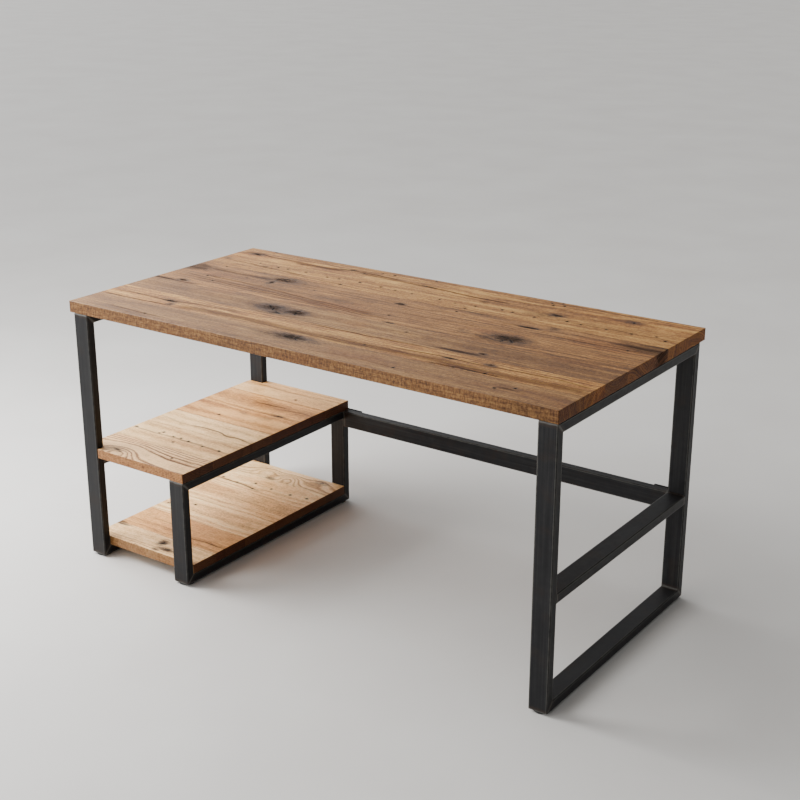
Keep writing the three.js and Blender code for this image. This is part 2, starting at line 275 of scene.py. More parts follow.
def line_mask(graph, x, y, strength, half_width, *route):
    """A dark wavy line along the grain. The route is x, y, x, y and so on."""
    half_length, half_depth = 800, 400
    curve = graph.node("ShaderNodeFloatCurve")
    points = curve.mapping.curves[0].points
    for i, (place_x, place_y) in enumerate(zip(route[::2], route[1::2])):
        spot = ((place_x + half_length) / 2 / half_length, (place_y + half_depth) / 2 / half_depth)
        if i < 2:
            points[i].location = spot
        else:
            points.new(*spot)
    curve.mapping.update()
    graph.put(curve.inputs["Value"], graph.math("MULTIPLY_ADD", x, 0.5 / half_length, 0.5))
    level = graph.math("MULTIPLY_ADD", graph.output(curve), 2 * half_depth, -half_depth)
    dark = min(1.0, 1.5 * strength)
    across = graph.smooth(abs(y - level), half_width * 0.5, half_width * 1.6, dark, 0.0)
    begins = graph.smooth(x, route[0] - 20, route[0] + 40)
    ends = graph.smooth(x, route[-2] - 40, route[-2] + 20, 1.0, 0.0)
    return across * (begins * ends)


def oak(name, board):
    """Oak for one board. It is a solid texture: rings round a pith line, so faces, edges and ends agree."""
    finish = Finish(name)
    graph, point = finish.graph, finish.point
    x, y, z = graph.split(point)
    offset = [board["seed"] * share for share in (311.7, 57.3, 23.9)]
    shifted = graph.vector("ADD", point, offset)
    facing_end, facing_side = (
        graph.smooth(abs(part), 0.5, 0.85) for part in graph.split(graph.place("Normal"))[:2]
    )

    def noise_at(scale, detail=2.0, roughness=0.5):
        return graph.noise(shifted, scale, detail, roughness)

    # The grain coordinate: distance across the board, bent by slow wander, by knots and by swells
    wander = noise_at((0.0022, 0.007, 0.007))
    ripple = noise_at((0.012, 0.03, 0.03))
    patchy = noise_at((0.045, 0.17, 0.1), 4.0, 0.65)
    ragged = patchy.swing(1.2)
    knot_height, push, _ = spots(graph, point, ragged, board["knots"])
    stain_height, _, _ = spots(graph, point, ragged, board["stains"])
    _, _, lift = spots(graph, point, ragged, board["swells"])
    rippled = y + ripple.swing(7) - push * 0.85
    grain = rippled + wander.swing(board["wander"]) - lift * SWELL_LIFT

    # Growth rings, streaks along the grain, then fibres, flecks, saw chatter and open pores
    pith_y, pith_z = board["pith"]
    radius = graph.vector("LENGTH", graph.join(0.0, grain - pith_y, z - pith_z))
    phase = graph.math("FRACT", graph.math("DIVIDE", radius, board["ring"]))
    ring = graph.ramp(phase, (0.0, 0.2), (0.16, 0.0), (0.45, 0.7), (0.85, 0.9), (1.0, 0.2))
    streak_place = graph.join(x + offset[0], radius, 0.0)
    broad = graph.noise(streak_place, (0.0016, 0.045, 0), 3.0)
    narrow = graph.noise(streak_place, (0.005, 0.22, 0), 4.0, 0.62)
    fibre = noise_at((0.025, 0.5, 0.5), 4.0, 0.65)
    flecks = noise_at((0.16, 0.24, 0.2), 3.0, 0.6)
    chatter = noise_at((0.22, 0.05, 0.07), 3.0, 0.6)
    pore_value = noise_at((0.06, 1.5, 1.5)) + graph.smooth(phase, 0.1, 0.6, 0.07, 0.0)
    pore = graph.smooth(pore_value, 0.6, 0.7)

    streaks = broad.swing(board["broad"]) + narrow.swing(board["narrow"]) + ring.swing(board["ring_show"])
    value = 0.5 + streaks * graph.math("MULTIPLY_ADD", facing_side, -0.6, 1.0)
    value = value + fibre.swing(0.62) + flecks.swing(0.5)
    value = value + chatter.swing(1) * graph.math("MULTIPLY_ADD", facing_side, 0.5, 0.16)
    wood = graph.ramp(value, *zip((0.15, 0.5, 0.85), board["tones"]))

    # Broad shifts of hue, towards red and towards grey
    hue = noise_at((0.004, 0.012, 0.012))
    wood = graph.mix(graph.smooth(hue, 0.52, 0.72, 0.0, board["hue"]), wood, "e4c6a2", "MULTIPLY")
    wood = graph.mix(graph.smooth(hue, 0.48, 0.28, 0.0, board["hue"]), wood, "cfc6b0", "MULTIPLY")

    # Veins, dark lines and stains
    vein = graph.smooth(abs(narrow - 0.5), 0.003, 0.035, 1.0, 0.0)
    vein = vein * graph.smooth(wander, 0.42, 0.6, 0.1, board["vein"])
    wood = graph.mix(vein * graph.smooth(facing_side, 0.0, 1.0, 1.0, 0.3), wood, "4f2c12")
    lines = 0.0
    for line in board["lines"]:
        lines = graph.math("MAXIMUM", lines, line_mask(graph, x, rippled, *line))
    broken = graph.smooth(narrow, 0.35, 0.62, 1.0, 0.65)
    wood = graph.mix(lines * broken, wood, "3d200c")
    stain = graph.smooth(stain_height, 0.05, 0.55, 0.0, 0.95) * broken
    wood = graph.mix(stain, wood, "2e2019")

    # Knots: a soft halo, swirls round the core, and a cracked core
    wood = graph.mix(graph.smooth(knot_height, 0.0, 0.55, 0.0, 0.85) * broken, wood, "452c1a")
    swirl = graph.math("SINE", graph.math("MULTIPLY_ADD", ripple, 9.0, knot_height * KNOT_TURNS))
    swirl = graph.smooth(swirl, 0.0, 0.9) * graph.smooth(knot_height, 0.08, 0.35, 0.0, 0.75)
    wood = graph.mix(swirl, wood, "1f1109")
    core = graph.smooth(knot_height, 0.4, 0.78, 0.0, 0.8)
    crack = graph.smooth(abs(patchy - 0.5), 0.01, 0.09, 1.0, 0.0)
    core_shade = graph.mix(graph.smooth(flecks, 0.4, 0.62), colour("211c1a"), "5a483b")
    wood = graph.mix(core, wood, graph.mix(crack, core_shade, "0a0807"))

    # Pores, iron stain round nail holes and splits, then the ends and the long sides darkened by which way
    # they face: partly the end grain's own darker colour, partly painted shade
    wood = graph.mix(pore * 0.45, wood, "3b2414")
    iron = graph.attribute("stain") * graph.smooth(patchy, 0.2, 0.6, 0.7, 1.0)
    wood = graph.mix(iron, wood, "15100d")
    # Faces looking along x take the end tint and faces looking along y the side tint: partly real end grain,
    # partly painted shade
    wood = graph.mix(facing_end, wood, graph.mix(1.0, wood, board["end"], "MULTIPLY"))
    wood = graph.mix(facing_side, wood, graph.mix(1.0, wood, board["side"], "MULTIPLY"))

    rough = ROUGH + narrow.swing(0.12) + pore * 0.15 + facing_end * 0.15 + core * 0.4
    dull = graph.math("MAXIMUM", graph.math("MAXIMUM", core, stain), pore * 0.5)
    dull = graph.math("MAXIMUM", dull, lines * 0.8)
    height = ring * 0.25 + fibre * 0.4 - pore * 0.5 + chatter * 0.35
    shine = graph.math("MULTIPLY_ADD", dull, -SHINE, SHINE)
    return finish.look(wood, rough, height, 0.5, 0.25, Specular_IOR_Level=shine)


def hole_wood():
    """The burnt, iron-stained inside of nail holes and splits."""
    finish = Finish("nail_hole")
    patches = finish.graph.noise(finish.point, (0.6, 0.9, 0.9), 3.0)
    base = finish.graph.ramp(patches, (0.3, "120d0a"), (0.7, "2c1e15"))
    rough = finish.graph.smooth(patches, 0.2, 0.8, 0.7, 0.9)
    return finish.look(base, rough, patches, 0.6, 0.4, Specular_IOR_Level=0.1)


HOLE_WOOD = hole_wood()

# What every board has unless its own entry below says otherwise. Places are millimetres in the desk frame.
# knots, stains and swells are (x, y, half length, half width, strength), nails (x, y), splits (x, y, half
# length, half width, angle in degrees) and lines (strength, half width, x, y, x, y and so on along the line).
PLAIN = dict(
    pith=(40, -60), ring=6.5, ring_show=0.12, wander=14, broad=0.42, narrow=0.6, vein=0.4, hue=0.5,
    # end and side: tints multiplied into faces looking along x and along y, partly the darker end grain,
    # partly painted shade
    end="d9bda0", side="e4dcd6",
    knots=[], stains=[], swells=[], lines=[], nails=[], splits=[],
)
# The shelves' much darker end tint is painted shade, for ends that sit in shade under the top; their darker
# side tint is painted shade on their front edges
SHELF_PLAIN = dict(PLAIN, broad=0.22, narrow=0.45, vein=0.15, hue=0.3, end="5c4230", side="baa28a")

GREY_BROWN = ("513217", "7d562c", "9e7847")
RED_BROWN = ("472b11", "82572b", "aa7c46")
GOLDEN = ("633b15", "9d6c33", "c29653")
PALE = ("b3824c", "e9bc7f", "fbd7a4")
TAN = ("9c6632", "d59753", "efb976")
ARCHED = ("7a4f29", "cfa069", "ecc18c")
HONEY = ("a67140", "dda868", "f2c58b")
LIGHT = ("bf8b52", "f8c787", "ffe4ae")

TOP_BOARDS = [
    dict(
        tones=GREY_BROWN, pith=(-470, 690),
        knots=[(-50, -292, 42, 18, 1), (20, -300, 24, 8, 0.5)],
        # The last stain, centred just in front of the board at its right end, is painted shade: it darkens the
        # front edge and front margin towards the right end
        stains=[(600, -322, 25, 6, 0.6), (-80, -300, 80, 20, 0.45), (690, -394, 110, 13, 0.5)],
        lines=[(0.55, 3, -640, -345, -520, -350, -420, -352), (0.4, 2, 40, -352, 200, -340, 330, -346)],
        nails=[(610, -308), (570, -333), (-505, -350), (300, -345)],
        splits=[
            (-58, -296, 15, 1.3, 12), (-34, -286, 9, 1.2, 60), (-30, -302, 9, 1, -35),
            (-505, -353, 14, 0.9, 3),
        ],
    ),
    dict(
        tones=GOLDEN, pith=(-130, 660), wander=7, broad=0.6, narrow=0.85,
        knots=[
            (-533, -221, 20, 7, 1), (-512, -246, 10, 10, 0.8), (478, -198, 12, 8, 0.8),
            (368, -210, 16, 5, 0.8),
        ],
        lines=[
            (
                0.5, 13, -490, -252, -420, -242, -250, -238, 0, -248, 180, -243, 340, -240, 500, -246,
                765, -240,
            ),
            (0.95, 4, -765, -262, -620, -262, -500, -255), (0.95, 4, 330, -262, 420, -258, 560, -262),
            (0.6, 3, -765, -222, -660, -218, -540, -220, -440, -205, -300, -198),
            (0.75, 3, -80, -173, 60, -175, 200, -170, 330, -168),
            (0.65, 3, 200, -214, 380, -208, 480, -208, 600, -200, 765, -212),
        ],
        nails=[(412, -262), (498, -258), (355, -263), (140, -240)],
        splits=[
            (-530, -222, 15, 0.9, -8), (455, -261, 26, 0.9, 0), (368, -210, 12, 0.8, 0),
            (-660, -219, 8, 0.8, 0),
        ],
    ),
    dict(
        tones=GREY_BROWN, pith=(-110, 820),
        knots=[
            (-268, -112, 36, 22, 0.9), (-180, -115, 29, 18, 1), (-225, -146, 26, 9, 0.75),
            (416, -135, 9, 6, 1),
        ],
        stains=[(-240, -122, 95, 26, 0.4), (360, -152, 50, 6, 0.7)],
        lines=[(0.85, 4, 275, -156, 350, -152, 430, -150), (0.5, 3, -320, -150, -230, -158, -120, -140)],
        nails=[(160, -92)],
        splits=[
            (-276, -106, 13, 1.6, 140), (-254, -122, 11, 1.3, 120), (-250, -98, 9, 1.1, 40),
            (-184, -104, 12, 1.5, 70), (-174, -126, 10, 1.3, 110), (-222, -142, 17, 1.2, -28),
            (-205, -126, 7, 1, 50),
        ],
    ),
    dict(
        tones=RED_BROWN, pith=(-70, 640), wander=18,
        knots=[(400, 8, 46, 24, 1), (-665, -35, 16, 10, 0.9), (75, -50, 14, 4, 0.9), (270, 0, 16, 12, 0.4)],
        stains=[(-735, -50, 40, 5, 0.95), (350, -22, 60, 22, 0.4)],
        lines=[
            (0.95, 3.5, -765, -50, -680, -52, -590, -52),
            (0.55, 4, -660, 48, -400, 30, -200, 8, -60, -4, 0, -10),
            (0.45, 4, -720, 32, -450, 12, -220, -4, 60, -24),
            (0.55, 3, -740, 14, -500, 2, -250, -14, 0, -32),
            (0.35, 3, -700, -6, -500, -12, -300, -24, -80, -40), (0.4, 2.4, 20, 46, 150, 50, 350, 50),
        ],
        nails=[(33, 8), (-590, 6), (-640, 40)],
        splits=[
            (388, 12, 20, 1.8, 160), (424, 16, 12, 1.3, 30), (418, -8, 13, 1.4, -48),
            (396, -14, 9, 1.2, 75), (-665, -36, 12, 1.1, 5), (78, -50, 10, 1.1, 0),
        ],
    ),
    dict(
        tones=RED_BROWN, pith=(180, 560), wander=12,
        knots=[
            (-421, 128, 46, 20, 0.8), (-438, 88, 9, 18, 0.75), (-3, 115, 13, 8, 1), (392, 121, 24, 5, 1),
            (453, 147, 14, 12, 0.7),
        ],
        stains=[
            (-745, 104, 42, 26, 0.95), (-640, 116, 60, 10, 0.45), (730, 125, 70, 24, 0.8),
            (-480, 110, 40, 10, 0.4),
        ],
        lines=[
            (0.6, 5, -700, 112, -580, 110, -450, 112), (0.6, 2.4, 480, 96, 640, 90, 765, 100),
            (0.5, 2.4, 300, 118, 392, 120, 470, 112), (0.5, 2.4, -50, 116, 0, 112, 60, 108, 160, 118),
        ],
        nails=[(688, 89), (-530, 86), (-285, 92), (-665, 152), (160, 140)],
        splits=[
            (392, 121, 26, 1.6, 0), (-424, 140, 12, 1.5, 60), (-412, 122, 10, 1.3, -30),
            (-442, 124, 10, 1.2, 80), (-3, 115, 8, 1.5, 0), (-436, 90, 9, 1.2, 85), (-402, 148, 9, 1.1, 15),
        ],
    ),
    dict(
        tones=GOLDEN, pith=(-40, 800), wander=9, broad=0.6, narrow=0.85,
        knots=[(397, 262, 18, 11, 0.95), (-738, 240, 14, 6, 0.6)],
        stains=[(360, 245, 40, 20, 0.35), (170, 262, 12, 8, 0.5)],
        lines=[
            (0.6, 3, -765, 232, -640, 222, -520, 210, -400, 200),
            (0.5, 2.4, -500, 204, -400, 190, -300, 186, -180, 172),
            (0.45, 2.4, 400, 232, 560, 226, 765, 224),
        ],
        nails=[
            (-613, 243), (-535, 235), (-497, 233), (-432, 237), (-345, 228), (-305, 232), (-230, 232),
            (-153, 228), (-100, 223), (-40, 220), (55, 215), (110, 208), (172, 213), (250, 225), (285, 220),
            (355, 213), (445, 227), (488, 222), (560, 223), (632, 223), (695, 235), (728, 213), (160, 180),
            (-265, 185),
        ],
        splits=[(395, 263, 14, 1.3, -20), (-575, 222, 12, 0.7, 4)],
    ),
    dict(
        tones=GOLDEN, pith=(290, 580), wander=9, broad=0.6, narrow=0.85,
        knots=[(-693, 323, 20, 9, 0.9), (590, 318, 30, 16, 0.4)],
        stains=[(-330, 334, 14, 7, 0.6)],
        lines=[
            (0.95, 4, -765, 316, -700, 330, -620, 322, -500, 318, -400, 316, -340, 330, -200, 325, -130, 320),
            (0.6, 6, -540, 306, -420, 306, -340, 318),
            (0.95, 4.5, -80, 310, 0, 304, 80, 292, 150, 290, 240, 288),
            (0.6, 3, -300, 322, -100, 306, 60, 300),
        ],
        nails=[
            (-237, 354), (-280, 320), (-60, 372), (-195, 356), (-660, 374), (368, 352), (353, 370),
            (593, 314), (340, 340),
        ],
        splits=[
            (-693, 324, 13, 1, -20), (-345, 331, 24, 1.2, 8), (-40, 307, 26, 1, -4),
            (330, 355, 9, 0.8, -30),
        ],
    ),
]

UPPER_SHELF_BOARDS = [
    dict(
        tones=ARCHED, pith=(-345, 170), ring=4.5, ring_show=0.42,
        knots=[(-651, -347, 8, 4, 0.9), (-635, -353, 6, 3, 0.8)],
        stains=[(-660, -345, 40, 16, 0.35)],
        swells=[(-632, -348, 48, 34, 1.5)],
        lines=[(0.5, 2, -580, -306, -500, -318, -372, -328), (0.5, 2, -560, -292, -450, -305, -372, -310)],
        nails=[(-477, -308)],
        splits=[(-651, -348, 6, 0.8, 10)],
    ),
    dict(
        tones=PALE, pith=(-180, 10),
        lines=[(0.45, 4, -750, -192, -560, -190, -372, -198)],
        nails=[
            (-645, -186), (-639, -174), (-591, -184), (-564, -181), (-530, -187), (-470, -194),
            (-408, -193), (-562, -216),
        ],
        splits=[(-738, -185, 6, 2, 0)],
    ),
    dict(
        tones=PALE, pith=(-70, 140),
        lines=[
            (0.7, 3, -620, -86, -560, -80, -500, -84, -470, -96, -430, -92, -372, -100),
            (0.35, 3, -750, -76, -680, -84, -640, -98),
        ],
    ),
    dict(
        tones=TAN, pith=(60, 30), ring_show=0.2, wander=18,
        knots=[(-562, 85, 14, 9, 0.35)],
        stains=[(-467, 85, 28, 18, 0.3)],
        nails=[(-611, 30)],
    ),
    dict(
        tones=TAN, pith=(180, 60), ring_show=0.2, wander=16,
        knots=[(-452, 118, 20, 7, 0.6)],
        lines=[
            (0.55, 3, -600, 176, -560, 180, -470, 188), (0.5, 3, -502, 165, -450, 175, -372, 176),
            (0.5, 3, -600, 228, -580, 216, -555, 210),
        ],
        splits=[(-450, 118, 14, 1, 0)],
    ),
    dict(tones=HONEY, pith=(270, 110), lines=[(0.3, 2.5, -700, 312, -420, 300)], nails=[(-505, 262)]),
]

LOWER_SHELF_BOARDS = [
    dict(
        # Its darker side tint is painted shade on the lower shelf's front edge, which lies under the upper
        # shelf
        tones=PALE, pith=(-300, 10), wander=20, side="9c8a78",
        knots=[(-540, -300, 12, 14, 0.8), (-500, -328, 22, 7, 0.8), (-530, -342, 10, 6, 0.6)],
        stains=[(-735, -270, 24, 7, 0.9), (-510, -318, 50, 22, 0.3)],
        splits=[(-538, -305, 12, 1.3, 20), (-498, -328, 9, 1.1, 40)],
    ),
    dict(
        tones=TAN, pith=(-180, -180),
        stains=[(-740, -262, 14, 5, 0.7)],
        lines=[(0.6, 2.5, -530, -232, -440, -230, -372, -228), (0.3, 2, -700, -190, -520, -194)],
    ),
    dict(tones=LIGHT, pith=(-60, -150), nails=[(-651, -48), (-727, -86)]),
    dict(tones=LIGHT, pith=(70, -170), lines=[(0.25, 2, -680, 62, -450, 56)]),
    dict(
        tones=LIGHT, pith=(200, -120),
        lines=[(0.75, 3, -745, 157, -640, 152, -560, 144)],
        nails=[(-730, 165), (-666, 157), (-611, 183), (-591, 144), (-541, 176), (-464, 174), (-404, 181)],
    ),
    dict(
        tones=PALE, pith=(300, -90), ring=5, ring_show=0.34, wander=30,
        knots=[(-602, 242, 14, 8, 0.6), (-440, 305, 18, 12, 0.45)],
        swells=[(-640, 285, 34, 22, 1.2), (-545, 275, 30, 26, 1.3), (-450, 300, 40, 22, 1)],
    ),
]


# ---- mesh helpers ----


class Shell:
    """Collects one mesh: points in millimetres with their stain, and faces with their material number."""

    def __init__(self):
        self.points = []
        self.stain = []
        self.faces = []
        self.kinds = []

    def point(self, place, stain=0.0):
        self.points.append(Vector(place))
        self.stain.append(stain)
        return len(self.points) - 1

    def face(self, corners, kind=0):
        self.faces.append(tuple(corners))
        self.kinds.append(kind)

    def bridge(self, first, second, kind=0):
        """Quads between two closed loops of the same length."""
        for i in range(len(first)):
            j = (i + 1) % len(first)
            self.face((first[i], first[j], second[j], second[i]), kind)

    def skin(self, loops, capped=False):
        """Quads between each loop and the next, and flat caps at both ends if asked."""
        for before, after in zip(loops, loops[1:]):
            self.bridge(before, after)
        if capped:
            self.face(loops[0][::-1])
            self.face(loops[-1])

    def fan(self, loop, centre, kind=0):
        """Triangles between a closed loop and one point."""
        for i in range(len(loop)):
            self.face((loop[i], loop[(i + 1) % len(loop)], centre), kind)

    def move(self, matrix):
        self.points = [matrix @ p for p in self.points]
        return self

    def mesh(self, name, **values):
        """The mesh in metres. Each of the values is a list with one number a point, or one number for all."""
        made = bpy.data.meshes.new(name)
        made.from_pydata([p * MM for p in self.points], [], self.faces)
        made.polygons.foreach_set("material_index", self.kinds)
        for key, given in {"stain": self.stain, **values}.items():
            numbers = given if isinstance(given, list) else [given] * len(self.points)
            made.attributes.new(key, "FLOAT", "POINT").data.foreach_set("value", numbers)
        made.update()
        return made


def show(name, mesh, materials, nodes=(), body="desk"):
    """Puts a finished mesh in the scene: smooth but for true edges, on its body and in place of its nodes."""
    piece = add_object(name, mesh)
    for made in materials:
        mesh.materials.append(made)
    mesh.polygons.foreach_set("use_smooth", [True] * len(mesh.polygons))
    mesh.set_sharp_from_angle(angle=math.radians(40))
    piece.modifiers.new("normals", "WEIGHTED_NORMAL").keep_sharp = True
    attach(piece, body)
    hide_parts(*nodes)


def show_node(node, shell, materials, body="desk"):
    """Puts a shell in the scene in place of the CAD node that it is made for."""
    show(f"{node}_fine", shell.mesh(f"{node}_fine"), materials, [node], body)


def axes(x_axis, y_axis, z_axis, origin):
    """The matrix that lays a shape's own axes along the given ones and moves it to origin."""
    return Matrix.Translation(origin) @ Matrix((x_axis, y_axis, z_axis)).transposed().to_4x4()


def plan_places(nodes):
    """Where the named screws or feet stand, seen from above."""
    return [((low + high) / 2)[:2] for low, high in map(box, nodes)]


ENDS = ("front", "rear")
SIDES = ("left", "right")


def top_screws(side):
    return [f"{side}_top_screw_{end}" for end in ("front", "middle", "rear")]


def shelf_screws(shelf, side):
    return [f"{shelf}_shelf_{side}_screw_{end}" for end in ENDS]


# ---- boards ----

# How far outer edges and glued joints are eased, and how rounded the corners are in plan
EASE = 1.3
GLUE_EASE = 0.25
PLAN_CORNER = 2.0
ARC_STEPS = 3
EDGE_WEAR = 0.16
# Spacing of points along the edges and on the faces
EDGE_STEP = 11
GRID_STEP = 13
# Rings of points round a knot, as shares of its size, and how far a sanded face falls at knots and in waves
KNOT_RINGS = (0.0, 0.45, 0.9, 1.4, 2.0)
KNOT_RING_SIDES = 12
KNOT_DIP = 0.3
WAVE_DEPTH = 0.06
# Nail holes, splits and pilot holes: rings round them are (how far out, how stained)
PIT_RAGGED = 0.16
PIT_RINGS = ((1.6, 0.6), (4.5, 0.0))
PIT_MARGIN = 1.5
PIT_APART = 0.8
NET_CLEAR = 5.5
NAIL_RADIUS = 2.6
NAIL_DEPTH = 7
SPLIT_DEPTH = 3.5
PILOT_RADIUS = 2.7
PILOT_DEPTH = 18
NOTCH_CLEARANCE = 0.5
TOP_SEED, UPPER_SEED, LOWER_SEED = 1, 21, 41


def board_corners(node, first, last, notch):
    """A board seen from above, counter-clockwise: (x, y, how much the edge that starts here is eased)."""
    low, high = box(node)
    front, rear = (EASE if outer else GLUE_EASE for outer in (first, last))
    right = [(high.x, low.y, EASE), (high.x, high.y, rear)]
    if notch and first:
        left = [(low.x, high.y, EASE), (low.x, notch[1], EASE), (notch[0], notch[1], EASE)]
        return [(notch[0], low.y, front), *right, *left]
    if notch:
        left = [(notch[0], high.y, EASE), (notch[0], notch[1], EASE), (low.x, notch[1], EASE)]
        return [(low.x, low.y, front), *right, *left]
    return [(low.x, low.y, front), *right, (low.x, high.y, EASE)]


def board_outline(corners, seed):
    """Points round a board: (place, how far it moves in as the edge rounds over, how far it drops)."""
    outline = []
    for i, here in enumerate(corners):
        before, after = corners[i - 1], corners[(i + 1) % len(corners)]
        place, end = Vector(here[:2]), Vector(after[:2])
        into = (place - Vector(before[:2])).normalized()
        along = (end - place).normalized()
        normal_before, normal = Vector((into.y, -into.x)), Vector((along.y, -along.x))
        convex = into.x * along.y - into.y * along.x > 0
        if convex and before[2] == here[2] == EASE:
            centre = place - (normal_before + normal) * PLAN_CORNER
            for step in range(ARC_STEPS + 1):
                turn = step / ARC_STEPS * math.pi / 2
                ray = normal_before * math.cos(turn) + normal * math.sin(turn)
                outline.append((centre + ray * PLAN_CORNER, ray * EASE, EASE))
        else:
            outline.append((place, normal_before * before[2] + normal * here[2], max(before[2], here[2])))
        length = (end - place).length
        pieces = max(2, round(length / EDGE_STEP))
        for step in range(1, pieces):
            spot = place + along * (length * step / pieces)
            wear = 0.0
            if here[2] == EASE:
                wear = EDGE_WEAR * (1 + noise.noise(Vector((spot.x * 0.03, spot.y * 0.03, seed))))
            outline.append((spot - normal * wear, normal * here[2], here[2]))
    return outline


def in_rim(place, rim):
    """True if a point lies inside a closed loop of points."""
    crossings = 0
    for i, a in enumerate(rim):
        b = rim[(i + 1) % len(rim)]
        if (a.y > place.y) != (b.y > place.y):
            if place.x < a.x + (place.y - a.y) / (b.y - a.y) * (b.x - a.x):
                crossings += 1
    return crossings % 2 == 1


def well_inside(place, rim, margin):
    """True if a point lies inside a closed loop of points and at least margin from its edges."""
    for i, a in enumerate(rim):
        b = rim[(i + 1) % len(rim)]
        share = min(1.0, max(0.0, geometry.intersect_point_line(place, a, b)[1]))
        if (a.lerp(b, share) - place).length < margin:
            return False
    return in_rim(place, rim)


def rims_meet(first, second):
    """True if two closed loops of points cross or one holds the other."""
    for i in range(len(first)):
        for j in range(len(second)):
            if geometry.intersect_line_line_2d(first[i - 1], first[i], second[j - 1], second[j]):
                return True
    return in_rim(first[0], second) or in_rim(second[0], first)


class Pit:
    """A hole in a board's face: a ragged oval rim whose walls narrow to a floor."""

    def __init__(self, x, y, half_length, half_width, angle, depth, narrowing, rng):
        self.centre = Vector((x, y))
        self.half = (half_length, half_width)
        self.turn = Matrix.Rotation(math.radians(angle), 2)
        self.depth = depth
        self.narrowing = narrowing
        self.sides = 9 if half_length < 3 else 16
        self.ragged = [1 + rng.uniform(-PIT_RAGGED, PIT_RAGGED) for _ in range(self.sides)]

    def ring(self, grow, scale=1.0):
        """The rim, grown by some millimetres or scaled, as points in plan."""
        found = []
        for i, ragged in enumerate(self.ragged):
            angle = FULL_TURN * i / self.sides
            reach = [(half * scale + grow) * ragged for half in self.half]
            ray = Vector((reach[0] * math.cos(angle), reach[1] * math.sin(angle)))
            found.append(self.centre + self.turn @ ray)
        return found

    def covers(self, place, grow):
        """True if a point may lie within the rim grown by some millimetres."""
        local = self.turn.transposed() @ (place - self.centre)
        reach = [half * (1 + PIT_RAGGED) + grow for half in self.half]
        return (local.x / reach[0]) ** 2 + (local.y / reach[1]) ** 2 < 1

    def sink(self, shell, loop, level, down):
        """The walls and floor below the rim. Down is -1 under an upper face and 1 under a lower one."""
        for share, scale in ((0.5, (1 + self.narrowing) / 2), (1.0, self.narrowing)):
            height = level + down * self.depth * share
            deeper = [shell.point((p.x, p.y, height), 1.0) for p in self.ring(0, scale)]
            shell.bridge(*((loop, deeper) if down < 0 else (deeper, loop)), 1)
            loop = deeper
        centre = shell.point((*self.centre, height), 1.0)
        shell.fan(loop if down < 0 else loop[::-1], centre, 1)


def board_pits(board, rim, rng):
    """The nail holes and splits of one board's upper face."""
    pits = []
    for x, y in board["nails"]:
        radius = NAIL_RADIUS * rng.uniform(0.8, 1.25)
        half_length, angle = radius * rng.uniform(1, 1.3), rng.uniform(-20, 20)
        pits.append(Pit(x, y, half_length, radius, angle, NAIL_DEPTH, 0.75, rng))
    for split in board["splits"]:
        pits.append(Pit(*split, SPLIT_DEPTH, 0.35, rng))
    kept = []
    for pit in pits:
        own = pit.ring(PIT_APART)
        apart = not any(rims_meet(own, other.ring(PIT_APART)) for other in kept)
        if apart and all(well_inside(p, rim, PIT_MARGIN) for p in own):
            kept.append(pit)
    return kept


def surface_fall(place, knots):
    """How far a sanded face lies below its plane: faint waves, and dips at knots."""
    fall = WAVE_DEPTH * (1 + noise.noise(Vector((place.x * 0.012, place.y * 0.035, 3.0))))
    for x, y, half_length, half_width, strength in knots:
        reach = ((place.x - x) / half_length) ** 2 + ((place.y - y) / half_width) ** 2
        fall += KNOT_DIP * strength * math.exp(-reach)
    return fall


def net_places(rim, knots, rng):
    """Places for a board face's inner points: rings round knots, then a loose grid."""
    for x, y, half_length, half_width, _ in knots:
        for scale in KNOT_RINGS:
            for i in range(KNOT_RING_SIDES if scale else 1):
                angle = math.pi * (2 * i / KNOT_RING_SIDES + scale)
                ray = Vector((half_length * math.cos(angle), half_width * math.sin(angle)))
                yield Vector((x, y)) + ray * scale
    low, high = (Vector([pick(p[i] for p in rim) for i in (0, 1)]) for pick in (min, max))
    size = high - low
    columns, rows = (round(side / GRID_STEP) for side in size)
    for i in range(1, columns):
        for j in range(1, rows):
            jitter = Vector((rng.uniform(-2, 2), rng.uniform(-2, 2)))
            yield low + Vector((size.x * i / columns, size.y * j / rows)) + jitter


def fill_board_face(shell, edge_loop, rim, level, down, pits, knots, rng):
    """Closes a board's upper or lower face: a fine net of triangles with its pits let in."""
    places = [shell.points[i].to_2d() for i in edge_loop]
    index = list(edge_loop)
    edges = [(i, (i + 1) % len(index)) for i in range(len(index))]

    def net_point(place, stain=0.0):
        fall = surface_fall(place, knots)
        places.append(place)
        index.append(shell.point((place.x, place.y, level + down * fall), stain))

    starts = []
    for pit in pits:
        start = len(places)
        starts.append(start)
        for place in pit.ring(0):
            net_point(place, 1.0)
        edges += [(start + i, start + (i + 1) % pit.sides) for i in range(pit.sides)]
        for grow, stain in PIT_RINGS:
            for place in pit.ring(grow):
                others = (other for other in pits if other is not pit)
                if well_inside(place, rim, EASE + 1) and not any(other.covers(place, 1) for other in others):
                    net_point(place, stain)
    for place in net_places(rim, knots, rng):
        if well_inside(place, rim, EASE + 2.5) and not any(pit.covers(place, NET_CLEAR) for pit in pits):
            net_point(place)

    coords, _, triangles, origin, *_ = geometry.delaunay_2d_cdt(places, edges, [], 1, 1e-4)
    for triangle in triangles:
        middle = sum((coords[i] for i in triangle), Vector((0, 0))) / 3
        if not any(pit.covers(middle, 2) and in_rim(middle, pit.ring(0)) for pit in pits):
            chosen = [index[origin[i][0]] for i in triangle]
            shell.face(chosen if down < 0 else chosen[::-1])
    for pit, start in zip(pits, starts):
        pit.sink(shell, index[start : start + pit.sides], level, down)


